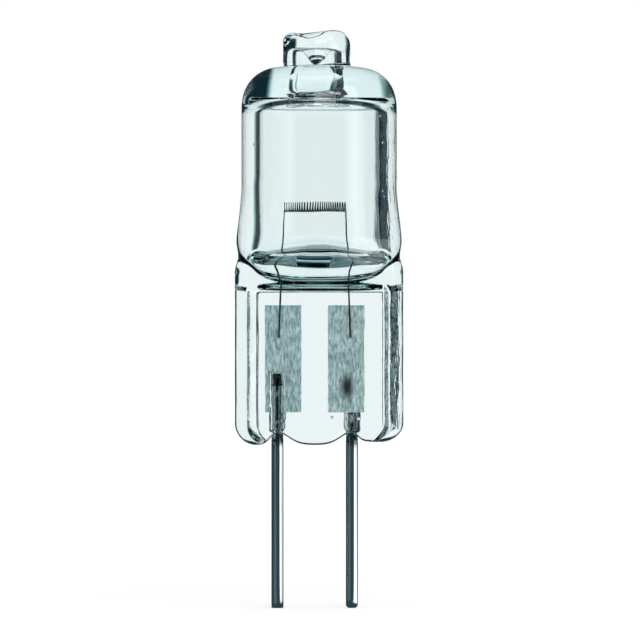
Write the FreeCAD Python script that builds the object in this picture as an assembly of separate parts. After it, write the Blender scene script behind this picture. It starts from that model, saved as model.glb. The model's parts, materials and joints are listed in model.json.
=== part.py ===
import FreeCAD, Part
import math
import os

from FreeCAD import Vector

os.makedirs("parts", exist_ok=True)

# Halogen capsule bulb with two plug-in pins, in millimetres.
# z = 0 is the seat plane under the pinch, the dome points up and the pins straddle x = 0.

# Driving dimensions of the lead parts
PIN_PITCH = 4.0
PIN_DIAMETER = 0.65
PIN_LENGTH = 8.75
PIN_DEPTH = 3.86
PIN_WAIST = 0.012
PIN_WAIST_LENGTH = 0.6
PIN_TIP_CHAMFER = 0.08
FOIL_WIDTH = 1.95
FOIL_LENGTH = 5.75
FOIL_THICKNESS = 0.03
FOIL_FEATHER = 0.5
FOIL_PITCH = 3.38
FOIL_BOTTOM = 1.76

# Driving dimensions of the filament
COIL_HEIGHT = 12.79
COIL_LENGTH = 3.42
COIL_DIAMETER = 0.59
COIL_TURNS = 26.5
WIRE_DIAMETER = 0.085
WIRE_SIDES = 4
RUNS_PER_TURN = 8
LEG_DIAMETER = 0.1
LEG_LAP = 0.03
LEG_FOOT = 5.78
LEG_SPREAD = 3.84

# Driving dimensions of the quartz envelope, which sits off centre on its leads
ENVELOPE_OFFSET = 0.24
BODY_DIAMETER = 8.34
WALL = 0.96
DOME_TOP = 20.3
DOME_ROUND = 2.0
DOME_THICKNESS = 1.8
CAVITY_ROUND = 1.1
TIP_DIAMETER = 3.6
TIP_TOP = 22.27
TIP_ROUND = 0.65
EXHAUST_BORE = 2.2
EXHAUST_FLARE = 0.4
EXHAUST_SEAL = 1.05
EXHAUST_CLOSE = 0.7

# Driving dimensions of the shoulder, where the tube widens and is drawn in to a cup between two rails
NECK_HEIGHT = 14.2
WIDENING = 4.4
CUP_TOP = 11.2
CUP_FOOT = 8.28
CUP_WIDTH = 6.0
CUP_THICKNESS = 1.88
CUP_SQUARE = 0.5
CUP_BEND = 1.15
CAVITY_NECK = 11.25
CAVITY_FALL = 1.22
CAVITY_BEND = 0.64
CAVITY_WIDENING = 0.1
CAVITY_SLIT = 0.5
CAVITY_END = 0.7

# Driving dimensions of the pinch seal
PINCH_WIDTH = 9.03
RAIL_THICKNESS = 3.24
RAIL_HEIGHT = 9.9
RAIL_TAPER = 1.2
RAIL_TIP_INSET = 0.12
RAIL_TIP_THICKNESS = 2.2
WEB_THICKNESS = 2.1
WEB_LEFT = -3.3
WEB_RIGHT = 3.46
WEB_TOP = 8.28
JAW_LEFT = 0.82
JAW_RIGHT = 2.18
JAW_TOP = 1.6
FOOT_HEIGHT = 0.9
FOOT_INSET = 0.5
PINCH_CORNER = 1.0
SCALLOP_RADIUS = 1.0
SCALLOP_RISE = 0.6
CAPILLARY_DIAMETER = 0.92
CAPILLARY_DEPTH = 3.92
MOUTH_DIAMETER = 1.4
MOUTH_DEPTH = 0.55
LEG_CHANNEL = 0.14

# Sections of the lofts, as shares of each stretch from its top
NECK_SECTIONS = (0, 0.35, 0.7)
CUP_SECTIONS = (0, 0.22, 0.44, 0.64, 0.82, 1)
CAVITY_SECTIONS = (0, 0.35, 0.6, 0.8, 0.93, 1)
FULLY_PRESSED = 0.96
OCTANT = math.radians(22.5)
DIAGONAL = math.sqrt(0.5)

# Values worked out from the dimensions above
PIN_RADIUS = PIN_DIAMETER / 2
PIN_X = PIN_PITCH / 2
FOIL_X = FOIL_PITCH / 2
BURIED_RADIUS = PIN_RADIUS - PIN_WAIST
FOIL_PLANE = BURIED_RADIUS + FOIL_THICKNESS / 2
WIRE_RADIUS = WIRE_DIAMETER / 2
LEG_RADIUS = LEG_DIAMETER / 2
COIL_RADIUS = (COIL_DIAMETER - WIRE_DIAMETER) / 2
COIL_HALF = (COIL_LENGTH - WIRE_DIAMETER) / 2
COIL_PITCH = 2 * COIL_HALF / COIL_TURNS
BODY_RADIUS = BODY_DIAMETER / 2
CAVITY_RADIUS = BODY_RADIUS - WALL
TIP_RADIUS = TIP_DIAMETER / 2
BORE_RADIUS = EXHAUST_BORE / 2
CAVITY_TOP = DOME_TOP - DOME_THICKNESS
UP = Vector(0, 0, 1)
ORIGIN = Vector(0, 0, 0)


def meridian(radius, height):
    """A point of a turned profile, in the plane through the axis."""
    return Vector(radius, 0, height)


def line(start, end):
    return Part.LineSegment(start, end).toShape()


def arc_through(start, middle, end):
    return Part.Arc(start, middle, end).toShape()


def quarter(centre, radius):
    """A quarter circle in the plane through the axis, from the side of its centre to above it."""
    points = []
    for turn in (0, math.pi / 4, math.pi / 2):
        points.append(centre + Vector(radius * math.cos(turn), 0, radius * math.sin(turn)))
    return arc_through(*points)


def corner(start, sharp, end):
    """A rounded corner between two edges that would meet at a sharp point."""
    curve = Part.BezierCurve()
    curve.setPoles([start, (start + sharp) / 2, (sharp + end) / 2, end])
    return curve.toShape()


def profile(points):
    """Straight edges through (radius, height) points, closed along the axis."""
    places = [meridian(*point) for point in points]
    return [line(start, end) for start, end in zip(places, places[1:] + places[:1])]


def turned(edges):
    """A solid of revolution from a closed profile."""
    return Part.Face(Part.Wire(edges)).revolve(ORIGIN, UP, 360)


def smooth(share):
    """An S curve from 0 to 1."""
    return share * share * (3 - 2 * share)


def between(low, high, share):
    return low + (high - low) * share


def section(half_width, half_depth, edge, pressed, height):
    """A closed outline of eight arcs at one height: a circle at 0 pressed, a rounded slab at 1."""
    side_y = half_depth * between(math.sin(OCTANT), 1 - edge / half_depth, pressed)
    side_x = half_width * between(math.cos(OCTANT), 1, pressed)
    face_x = half_width * between(math.sin(OCTANT), 1 - edge / half_width, pressed)
    face_y = half_depth * between(math.cos(OCTANT), 1, pressed)
    cut = edge * (1 - DIAGONAL)
    edge_x = half_width * between(DIAGONAL, 1 - cut / half_width, pressed)
    edge_y = half_depth * between(DIAGONAL, 1 - cut / half_depth, pressed)
    quadrant = [(half_width, 0), (side_x, side_y), (edge_x, edge_y), (face_x, face_y)]
    mirrored = [(-x, y) for x, y in reversed(quadrant)]
    upper = quadrant + [(0, half_depth)] + mirrored
    lower = [(-x, -y) for x, y in upper[1:-1]]
    points = [Vector(x, y, height) for x, y in upper + lower]
    points = points[-1:] + points
    arcs = [arc_through(*points[number:number + 3]) for number in range(0, len(points) - 2, 2)]
    return Part.Wire(arcs)


def tube_half_width(height):
    """The tube widens below its neck until it is as wide as the pinch."""
    share = min(1, max(0, (NECK_HEIGHT - height) / WIDENING))
    return between(BODY_RADIUS, PINCH_WIDTH / 2, smooth(share))


def cup():
    """The lower end of the tube, first widening and then drawn in to a flat cup."""
    sections = []
    for share in NECK_SECTIONS:
        height = between(NECK_HEIGHT, CUP_TOP, share)
        sections.append(section(tube_half_width(height), BODY_RADIUS, BODY_RADIUS, 0, height))
    for share in CUP_SECTIONS:
        height = between(CUP_TOP, CUP_FOOT, share)
        open_share = math.cos(share * math.pi / 2) ** CUP_BEND
        half_width = between(CUP_WIDTH / 2, tube_half_width(height), open_share)
        half_depth = between(CUP_THICKNESS / 2, BODY_RADIUS, open_share)
        sections.append(section(half_width, half_depth, half_depth / 2, CUP_SQUARE * (1 - open_share), height))
    return Part.makeLoft(sections, True)


def cavity_floor():
    """The lower end of the gas space: a rounded trough from side to side."""
    sections = []
    for share in CAVITY_SECTIONS:
        rise = CAVITY_FALL * (1 - share)
        half_depth = max(CAVITY_RADIUS * (1 - share ** 2) ** CAVITY_BEND, CAVITY_SLIT / 2)
        short = max(0, CAVITY_END - rise)
        inset = CAVITY_END - math.sqrt(CAVITY_END ** 2 - short ** 2)
        half_width = CAVITY_RADIUS + CAVITY_WIDENING * share - inset
        height = CAVITY_NECK - CAVITY_FALL * share
        sections.append(section(half_width, half_depth, half_depth / 2, share * FULLY_PRESSED, height))
    return Part.makeLoft(sections, True, True)


def body_blank():
    """Tube, dome and exhaust tip as one turned blank."""
    dome_start = DOME_TOP - DOME_ROUND
    dome_flat = BODY_RADIUS - DOME_ROUND
    tip_corner = meridian(TIP_RADIUS, TIP_TOP)
    tip_side = meridian(TIP_RADIUS, TIP_TOP - TIP_ROUND)
    tip_flat = meridian(TIP_RADIUS - TIP_ROUND, TIP_TOP)
    return turned([
        line(meridian(0, NECK_HEIGHT), meridian(BODY_RADIUS, NECK_HEIGHT)),
        line(meridian(BODY_RADIUS, NECK_HEIGHT), meridian(BODY_RADIUS, dome_start)),
        quarter(meridian(dome_flat, dome_start), DOME_ROUND),
        line(meridian(dome_flat, DOME_TOP), meridian(TIP_RADIUS, DOME_TOP)),
        line(meridian(TIP_RADIUS, DOME_TOP), tip_side),
        corner(tip_side, tip_corner, tip_flat),
        line(tip_flat, meridian(0, TIP_TOP)),
        line(meridian(0, TIP_TOP), meridian(0, NECK_HEIGHT)),
    ])


def cavity_blank():
    """The gas space and the exhaust bore that is sealed off above it, as one turned blank."""
    round_start = CAVITY_TOP - CAVITY_ROUND
    flat = CAVITY_RADIUS - CAVITY_ROUND
    bore_top = TIP_TOP - EXHAUST_SEAL
    return turned([
        line(meridian(0, CAVITY_NECK), meridian(CAVITY_RADIUS, CAVITY_NECK)),
        line(meridian(CAVITY_RADIUS, CAVITY_NECK), meridian(CAVITY_RADIUS, round_start)),
        quarter(meridian(flat, round_start), CAVITY_ROUND),
    ] + profile([
        (flat, CAVITY_TOP),
        (BORE_RADIUS + EXHAUST_FLARE, CAVITY_TOP),
        (BORE_RADIUS, CAVITY_TOP + EXHAUST_FLARE),
        (BORE_RADIUS, bore_top - EXHAUST_CLOSE),
        (BORE_RADIUS - EXHAUST_CLOSE, bore_top),
        (0, bore_top),
        (0, CAVITY_NECK),
    ])[:-1])


def pinch_outline(inset, half_depth, height):
    """The slab's outline at one height, drawn in at its ends by an inset."""
    return section(PINCH_WIDTH / 2 - inset, half_depth, PINCH_CORNER, FULLY_PRESSED, height)


def pinch_slab():
    """The flat seal before the jaws print it: bevelled at its foot, and thinning into the tube at its top."""
    half_depth = RAIL_THICKNESS / 2
    outlines = [
        pinch_outline(FOOT_INSET, half_depth - FOOT_INSET, 0),
        pinch_outline(0, half_depth, FOOT_HEIGHT),
        pinch_outline(0, half_depth, RAIL_HEIGHT),
        pinch_outline(RAIL_TIP_INSET, RAIL_TIP_THICKNESS / 2, RAIL_HEIGHT + RAIL_TAPER),
    ]
    return Part.makeLoft(outlines, True, True)


def jaw_print(side):
    """What one jaw presses out of the pinch: a flat web between the two rails, with sloping walls."""
    below = -FOOT_HEIGHT
    wires = []
    for spread in (0, RAIL_THICKNESS / 2):
        left, right = WEB_LEFT - spread / JAW_LEFT, WEB_RIGHT + spread / JAW_RIGHT
        top = WEB_TOP + spread / JAW_TOP
        y = side * (WEB_THICKNESS / 2 + spread)
        corners = [Vector(left, y, below), Vector(right, y, below), Vector(right, y, top), Vector(left, y, top)]
        wires.append(Part.makePolygon(corners + corners[:1]))
    return Part.makeLoft(wires, True, True)


def pinch_blank():
    """The flat seal: a rounded slab with a web pressed into both faces."""
    return pinch_slab().cut([jaw_print(side) for side in (-1, 1)])


def scallop(x):
    """The hollow that the lower edge draws up beside a pin, right through the pinch."""
    start = Vector(x, -RAIL_THICKNESS, SCALLOP_RISE - SCALLOP_RADIUS)
    return Part.makeCylinder(SCALLOP_RADIUS, 2 * RAIL_THICKNESS, start, Vector(0, 1, 0))


def capillary(x):
    """The narrow open gap that stays round a pin, with its flared mouth."""
    tube = Part.makeCylinder(CAPILLARY_DIAMETER / 2, CAPILLARY_DEPTH, Vector(x, 0, 0))
    mouth = Part.makeCone(MOUTH_DIAMETER / 2, CAPILLARY_DIAMETER / 2, MOUTH_DEPTH, Vector(x, 0, 0))
    return tube.fuse(mouth)


def leg_ends(side):
    """The two ends of one filament leg: at the coil, and at the weld on its foil."""
    coil_y = coil_axis_y() - side * COIL_RADIUS
    top = Vector(side * COIL_HALF, coil_y, COIL_HEIGHT)
    foot = Vector(side * LEG_SPREAD / 2, leg_weld_y(side), LEG_FOOT)
    return top, foot


def leg_weld_y(side):
    """Both legs are welded to the front faces of their foils."""
    return foil_y(side) - FOIL_THICKNESS / 2 - LEG_RADIUS


def coil_axis_y():
    """The right leg drops straight from the coil to its weld."""
    return leg_weld_y(1) + COIL_RADIUS


def foil_y(side):
    """The left foil lies behind its pin and the right one in front of it."""
    return -side * FOIL_PLANE


def rod(radius, start, end):
    reach = end - start
    return Part.makeCylinder(radius, reach.Length, start, reach)


def wire_outline(turn):
    """The wire's outline where it has gone this far round the coil, starting at the back."""
    outward = Vector(0, math.cos(turn), math.sin(turn))
    along = Vector(1, 0, 0)
    centre = Vector(COIL_PITCH * turn / (2 * math.pi) - COIL_HALF, coil_axis_y(), COIL_HEIGHT)
    centre += outward * COIL_RADIUS
    points = []
    for number in range(WIRE_SIDES + 1):
        around = 2 * math.pi * number / WIRE_SIDES
        points.append(centre + (outward * math.cos(around) + along * math.sin(around)) * WIRE_RADIUS)
    return Part.makePolygon(points)


def filament():
    """One tungsten wire: the wound coil, in short straight runs, and its two legs."""
    runs = round(COIL_TURNS * RUNS_PER_TURN)
    outlines = [wire_outline(2 * math.pi * number / RUNS_PER_TURN) for number in range(runs + 1)]
    coil = Part.makeLoft(outlines, True, True)
    legs = []
    for side in (-1, 1):
        top, foot = leg_ends(side)
        lap = (top - foot).normalize() * LEG_LAP
        legs.append(rod(LEG_RADIUS, top + lap, foot))
    return coil.fuse(legs).Solids[0]


def foil(side):
    """A foil strip that is flat along its middle and thins to feather edges."""
    middle, edge = FOIL_THICKNESS / 2, FOIL_WIDTH / 2
    flat = edge - FOIL_FEATHER
    outline = Part.makePolygon([
        Vector(-edge, 0, 0),
        Vector(-flat, -middle, 0),
        Vector(flat, -middle, 0),
        Vector(edge, 0, 0),
        Vector(flat, middle, 0),
        Vector(-flat, middle, 0),
        Vector(-edge, 0, 0),
    ])
    strip = Part.Face(outline).extrude(UP * FOIL_LENGTH)
    strip.translate(Vector(side * FOIL_X, foil_y(side), FOIL_BOTTOM))
    return strip


def pin(side):
    """A lead pin: chamfered tip, straight shank, and a buried end that is drawn slightly thinner."""
    tip = -PIN_LENGTH
    shape = turned(profile([
        (0, tip),
        (PIN_RADIUS - PIN_TIP_CHAMFER, tip),
        (PIN_RADIUS, tip + PIN_TIP_CHAMFER),
        (PIN_RADIUS, 0),
        (BURIED_RADIUS, PIN_WAIST_LENGTH),
        (BURIED_RADIUS, PIN_DEPTH),
        (0, PIN_DEPTH),
    ]))
    shape.translate(Vector(side * PIN_X, 0, 0))
    return shape


def quartz_envelope():
    """Tube, dome, sealed exhaust tip and pinch: one piece of fused quartz, with room for what it holds."""
    glass = body_blank().fuse(cup()).fuse(pinch_blank())
    glass = glass.cut(cavity_blank().fuse(cavity_floor()))
    glass.translate(Vector(ENVELOPE_OFFSET, 0, 0))
    room = []
    for side in (-1, 1):
        top, foot = leg_ends(side)
        room += [capillary(side * PIN_X), scallop(side * PIN_X), foil(side), rod(LEG_CHANNEL / 2, top, foot)]
    return glass.cut(room).removeSplitter().Solids[0]


nodes = {
    "quartz_envelope": quartz_envelope(),
    "filament": filament(),
    "foil_left": foil(-1),
    "foil_right": foil(1),
    "pin_left": pin(-1),
    "pin_right": pin(1),
}
for name, shape in nodes.items():
    shape.exportStep("parts/%s.step" % name)
    print(name, shape.isValid(), round(shape.Volume, 4))
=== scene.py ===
import json
import math
from collections import namedtuple

import bmesh
import bpy
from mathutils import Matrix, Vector, noise


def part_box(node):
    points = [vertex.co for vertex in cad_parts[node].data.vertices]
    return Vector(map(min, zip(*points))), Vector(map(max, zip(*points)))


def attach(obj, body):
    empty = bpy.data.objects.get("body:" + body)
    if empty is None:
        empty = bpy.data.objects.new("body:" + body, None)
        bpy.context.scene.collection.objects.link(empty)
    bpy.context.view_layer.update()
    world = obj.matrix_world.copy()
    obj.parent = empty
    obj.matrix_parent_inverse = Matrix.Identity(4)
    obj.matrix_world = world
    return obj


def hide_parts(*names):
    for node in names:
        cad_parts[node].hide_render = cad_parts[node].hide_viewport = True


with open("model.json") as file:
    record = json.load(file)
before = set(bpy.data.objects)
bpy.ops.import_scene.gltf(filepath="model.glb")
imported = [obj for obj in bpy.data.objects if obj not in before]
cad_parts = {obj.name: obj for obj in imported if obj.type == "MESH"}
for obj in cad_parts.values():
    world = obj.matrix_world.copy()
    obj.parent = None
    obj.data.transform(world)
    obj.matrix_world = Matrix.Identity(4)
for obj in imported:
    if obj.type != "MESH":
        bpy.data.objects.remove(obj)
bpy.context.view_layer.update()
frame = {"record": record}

# Halogen capsule bulb: a drawn and pinched quartz envelope round a coil, two foils and two pins.
# Shapes are worked out in millimetres in the frame of the solids and written to the meshes in metres.
MM = 0.001
RIGHT_ANGLE = math.pi / 2.0
BOX_DIGITS = 3

# Noise of a height and grain; the seed picks its pattern and the stretch scales it along z
Relief = namedtuple("Relief", "height grain seed stretch", defaults=(1.0,))

# Quartz envelope, about its own axis: the tube, its dome and the sealed tip
AXIS_X = 0.24
BODY_RADIUS = 4.17
DOME_TOP = 20.3
DOME_ROUND = 2.3
DOME_SQUARE = 2.3
TIP_RADIUS = 1.8
TIP_TOP = 22.11
TIP_ROUND = 0.6
TIP_SHIFT = -0.14
TIP_FILLET = 0.07
TIP_CENTRE = 0.06
TIP_BLEND = 0.3
TIP_LUMP = 0.2
TIP_LUMP_START = 20.7
TIP_LUMP_END = 21.9
LUMP_CORE = 0.4
LUMPS = Relief(1.0, 1.3, 5.0)
TUBE_STEPS = 14
DOME_STEPS = 30
FILLET_STEPS = 6
TIP_STEPS = 12

# Shoulder: the tube flares to the pinch and is drawn in like a cup between its rails
FLARE_START = 14.2
FLARE_END = 9.8
CUP_TOP = 11.2
CUP_FOOT = 8.28
CUP_MIN = 0.94
CUP_BEND = 1.15
CUP_HALF_WIDTH = 3.0
CUP_SQUARE = 3.2
CUP_SOFT = 0.3
ELLIPSE = 2.0
PRESS_START = 10.6
PRESS_END = 9.3
SHOULDER_LOW = 7.4
SHOULDER_HIGH = 12.2
SHOULDER_STEPS = 56
NECK_STEPS = 10

# Pinch: two rails, the web that the jaws press between them, and the rounded, lobed foot
PINCH_HALF_WIDTH = 4.515
PINCH_STEPS = 36
RAIL_HALF = 1.62
RAIL_CORNER = 1.03
RAIL_CROWN = 0.3
RAIL_MIDDLE = 3.9
RAIL_INSIDE = 2.9
RAIL_START = 1.1
WEB_HALF = 1.05
WEB_LEFT = -3.3
WEB_RIGHT = 3.46
WEB_TOP = 8.28
JAW_TOP = 1.6
JAW_LEFT = 0.82
JAW_RIGHT = 2.18
JAW_SOFT = 0.1
SOFT_TOP = 0.1
SOFT_LEFT = 0.19
SOFT_RIGHT = 0.06
FOOT_ROUND = 1.0
FOOT_SQUARE = 4.0
FOOT_CORNER = 1.2
FOOT_STEPS = 18
SCALLOP_RISE = 0.66
SCALLOP_INNER = 0.85
SCALLOP_OUTER = 0.5
RIGHT_LOBE_LIFT = 0.17
RIGHT_LOBE_START = 2.2
RIGHT_LOBE_END = 3.0
LOBE_FADE = 1.5
SIDE_POINTS = 10
CORNER_POINTS = 44
RAIL_POINTS = 16
WEB_POINTS = 14
OUTER_QUARTER = SIDE_POINTS + CORNER_POINTS + RAIL_POINTS + WEB_POINTS
RAIL_MOTTLE = Relief(0.012, 0.4, 3.0, 0.35)
MOTTLE_START = 2.8
MOTTLE_FULL = 3.5
MOTTLE_TOP = 7.5
MOTTLE_END = 9.5
DRAWN_WAVES = Relief(0.006, 1.3, 7.0)
EDGE_WAVES = Relief(0.02, 1.6, 11.0)

# Cavity and exhaust bore
CAVITY_RADIUS = 3.21
CAVITY_TOP = 18.5
CAVITY_ROUND = 0.75
CAVITY_NECK = 11.25
CAVITY_FLOOR = 10.03
CAVITY_BEND = 1.28
CAVITY_FLARE = 0.16
CAVITY_CORNER = 0.7
CAVITY_WAVES = Relief(0.004, 1.5, 13.0)
CAVITY_STEPS = 10
CAVITY_NECK_STEPS = 16
CEILING_STEPS = 4
CEILING_ROUND_STEPS = 18
TROUGH_STEPS = 40
THINNEST = 0.001
BORE_RADIUS = 1.1
BORE_FLARE = 0.4
BORE_TOP = 21.25
BORE_CROWN = 0.17
BORE_CROWN_TURN = 150.0
BORE_STEPS = 10
BORE_ROUND_STEPS = 8
BORE_BLEND_LOW = 0.2
BORE_BLEND_HIGH = 0.3
BORE_LUMP = 0.09
BORE_LUMP_START = 20.2
BORE_LUMP_END = 21.2
DROP_TIP = 20.3
DROP_START = 0.12
DROP_END = 0.98
DROP_CURVE = 0.8
DROP_STEPS = 10
INNER_QUARTER = 40

# Bubbles in the wall and a speck in the pinch: x, y, z and radius
BUBBLES = [
    (3.44, -1.85, 16.2, 0.09),
    (3.44, -1.85, 13.6, 0.07),
    (3.5, -1.75, 13.3, 0.06),
    (3.67, -1.39, 15.4, 0.06),
    (3.3, -2.0, 17.6, 0.07),
    (-3.03, -1.74, 16.1, 0.06),
    (0.93, -0.6, 1.5, 0.085),
]
BUBBLE_TURNS = (-75.0, -45.0, -15.0, 15.0, 45.0, 75.0)
BUBBLE_QUARTER = 4


def node_box(node):
    """Lowest and highest corner of a solid, in millimetres to the nearest micron."""
    return [[round(place / MM, BOX_DIGITS) for place in corner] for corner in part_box(node)]


# Pins and the narrow spaces that they stand in
PIN_BASE = frame["record"]["mounts"][0]["dims"]
PIN_X = PIN_BASE["pcd_mm"] / 2.0
PIN_RADIUS = PIN_BASE["stud_r_mm"]
PIN_LOW, PIN_HIGH = node_box("pin_right")
PIN_TIP = PIN_LOW[2]
PIN_END = PIN_HIGH[2]
PIN_BURIED = 0.313
PIN_WAIST_LENGTH = 0.6
PIN_SIDES = 48
PIN_STEPS = 40
PIN_BURIED_STEPS = 22
PIN_TIP_STEPS = 8
PIN_WOBBLE = Relief(0.0025, 0.5, 47.0, 0.15)
LEFT_BLUNT = 0.06
RIGHT_BLUNT = 0.2
WELD_START = 3.16
WELD_RADIUS = 0.36
WELD_LIP = 0.03
WELD_LIP_HEIGHT = 0.12
WELD_CHAMFER = 0.04
CAPILLARY_RADIUS = 0.46
CAPILLARY_END = 3.92
CAPILLARY_CHAMFER = 0.05
CAPILLARY_SIDES = 32
CAPILLARY_STEPS = 60
CAPILLARY_WAVES = Relief(0.045, 0.7, 17.0, 1.5)
MOUTH_RADIUS = 0.54
MOUTH_BELOW = -0.4
MOUTH_START = 0.45
MOUTH_TOP = 1.1

# Foils
FOIL_LOW, FOIL_HIGH = node_box("foil_right")
FOIL_X = (FOIL_LOW[0] + FOIL_HIGH[0]) / 2.0
FOIL_Y = -(FOIL_LOW[1] + FOIL_HIGH[1]) / 2.0
FOIL_HALF = (FOIL_HIGH[0] - FOIL_LOW[0]) / 2.0
FOIL_BOTTOM = FOIL_LOW[2]
FOIL_TOP = FOIL_HIGH[2]
FOIL_THICK = 0.026
FOIL_EDGE = 0.001
FOIL_FEATHER = 4
FOIL_COLUMNS = 26
FOIL_ROWS = 74
FOIL_RAGGED = Relief(0.035, 0.6, 37.0)
FOIL_CRINKLE = Relief(0.018, 0.16, 41.0, 0.6)
FOIL_WAVES = Relief(0.03, 0.8, 43.0)
BULGE_HALF = 0.42
BULGE_DEPTH = 0.07
BULGE_BELOW = 0.3
BULGE_ABOVE = 0.55

# Filament
COIL_Z = 12.79
COIL_Y = -0.1405
COIL_RADIUS = 0.2525
COIL_HALF = 1.6675
COIL_TURNS = 26.5
# The wire dwells along the coil's underside and swells there into a dark bar, put where the underside is in
# shade
COIL_DWELL = 0.93
COIL_SWELL = 0.7
COIL_SWELL_POWER = 4
COIL_STEPS = 24
COIL_DRIFT = Relief(0.012, 0.35, 23.0)
COIL_UNEVEN = Relief(0.03, 0.3, 29.0)
COIL_UNEVEN_ROW = 1.0
WIRE_RADIUS = 0.026
WIRE_SIDES = 8
LEG_RADIUS = 0.05
LEG_X = 1.92
LEG_FOOT = 5.78
LEG_LEFT_Y = 0.263
LEG_RIGHT_Y = -0.393
LEG_GAP = 0.015
LEG_STEPS = 60
LEFT_TAPER = 6
RIGHT_TAPER = 0.2
LEFT_WANDER = Relief(0.02, 0.6, 19.0, 7.0)
RIGHT_WANDER = Relief(0.02, 0.6, 31.0, 7.0)
RIGHT_WANDER_ROW = 3.0

# Points closer than this are merged, and edges sharper than this many degrees are shaded sharp
SHELL_MERGE = 0.0005
BORED_MERGE = 0.0002
METAL_MERGE = 0.0001
NEVER_SHARP = 180.0
GLASS_SHARP = 40.0
WIRE_SHARP = 60.0
FOIL_SHARP = 80.0
PIN_SHARP = 50.0

# Colours
WHITE = (1.0, 1.0, 1.0)
BLACK = (0.0, 0.0, 0.0)
SLATE = (0.006, 0.019, 0.028)
STEEL = (0.02, 0.038, 0.048)
TEAL = (0.25, 0.4, 0.42)

# Noise keeps mostly between these two values, so ramps on it start and end there
LOW_NOISE = 0.3
HIGH_NOISE = 0.7

# Quartz: faint draw lines all over, and a mottle inside the tube and on the pinch
QUARTZ_TINTS = ((0.93, 0.982, 0.978), (0.95, 0.988, 0.985))
QUARTZ_SHADOW = (0.96, 0.98, 0.98)
QUARTZ_DEPTH_COLOUR = (0.72, 0.92, 0.93)
QUARTZ_DEPTH_DENSITY = 110.0
QUARTZ_IOR = 1.458
QUARTZ_DETAIL = 2.0
DRAW_LINES = (900.0, 900.0, 90.0)
DRAW_STRENGTH = 0.06
DRAW_HEIGHT = 0.02
MOTTLE_GRAIN = (4200.0, 4200.0, 1000.0)
MOTTLE_STRENGTH = 0.7
MOTTLE_HEIGHT = 0.05
MOTTLE_LEFT = (0.2, 0.2, 0.2)
MOTTLE_LEFT_FULL = 0.1
MOTTLE_LEFT_NONE = 0.18
MOTTLE_RIGHT_NONE = 0.8
MOTTLE_RIGHT_FULL = 0.86
MOTTLE_IN_TUBE = 0.5
MOTTLE_ON_PINCH = 0.7
WALL_MOTTLE_NONE = 0.4
WALL_MOTTLE_FULL = 0.7

# Metals: the grain's scale along each axis, its colours, its least and most roughness, and its relief
Metal = namedtuple("Metal", "stretch dark light shiny dull relief detail metallic stains")
# A dark patch: its place and reach along each axis, how soft its edge is and what share of the colour it
# leaves
Stain = namedtuple("Stain", "place reach soft left")
TUNGSTEN = Metal(
    stretch=(4000.0, 4000.0, 4000.0),
    dark=(0.02, 0.025, 0.027),
    light=(0.07, 0.08, 0.085),
    shiny=0.35,
    dull=0.55,
    relief=0.3,
    detail=2.0,
    metallic=1.0,
    stains=[],
)
FOIL_METAL = Metal(
    stretch=(9000.0, 9000.0, 2200.0),
    dark=(0.22, 0.34, 0.36),
    light=(0.85, 1.0, 1.0),
    shiny=0.26,
    dull=0.5,
    relief=1.0,
    detail=4.0,
    metallic=0.55,
    # The patch over the right pin's end is painted shade: the shade of the foil's bulge over the pin.
    stains=[Stain((1.75, 0.0, 3.1), (0.55, 9.0, 1.1), 0.9, 0.02)],
)
PIN_METAL = Metal(
    stretch=(5000.0, 5000.0, 150.0),
    dark=(0.5, 0.55, 0.58),
    light=(0.66, 0.7, 0.72),
    shiny=0.06,
    dull=0.13,
    relief=0.12,
    detail=3.0,
    metallic=1.0,
    stains=[
        # The first patch blackens each pin's top end, painted shade for the foil in shade behind the bore's
        # end; the second darkens the pin along its length inside the glass.
        Stain((0.0, 0.0, 4.0), (90.0, 90.0, 0.85), 0.05, 0.03),
        Stain((0.0, 0.0, 4.0), (90.0, 90.0, 4.2), 0.1, 0.4),
    ],
)
GRAIN_ROUGHNESS = 0.6
GRAIN_HEIGHT = 0.03
# Where on the noise a grain's colours start and end
DARK_GRAIN = 0.35
LIGHT_GRAIN = 0.65

# Studio: bright windows by angle from +Y toward +X, how softly each starts and ends, and its level
Window = namedtuple("Window", "start rise end fall level")
BACKDROP = [
    Window(-122.0, 4.0, -68.0, 4.0, 1.0),
    Window(-44.0, 5.0, 28.0, 2.0, 1.0),
    Window(78.0, 2.0, 86.0, 2.0, 0.32),
    Window(108.0, 3.0, 133.0, 3.0, 1.0),
]
SOFTBOXES = [Window(-139.0, 1.5, -133.0, 1.5, 0.8), Window(112.0, 4.0, 134.0, 4.0, 0.9)]
LOW_BOX = [Window(-155.0, 15.0, -115.0, 15.0, 0.1), Window(68.0, 4.0, 138.0, 4.0, 1.0)]
BEHIND = [Window(-75.0, 5.0, 75.0, 5.0, 1.0)]
# Lowest and highest elevation of the windows, how softly they end, and where the ceiling starts
BACKDROP_LIFT = (-60.0, 34.0, 4.0)
SOFTBOX_LIFT = (-30.0, 60.0, 10.0)
OVERHEAD = 52.0
FILL_COLOUR = (0.72, 0.76, 0.77)
FILL_STRENGTH = 1.1
WORLD_MIRROR = 1.3
FLOOR_MIRROR = 2.0

# Floor: distances from the bulb's axis
FLOOR_HALF = 900.0
# Inside the bulb's shadow disc the floor is dark to rays that the glass bends: a painted shadow of the bulb
BULB_SHADOW_DISC = 8.0
BULB_SHADOW_EDGE = 24.0
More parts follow.
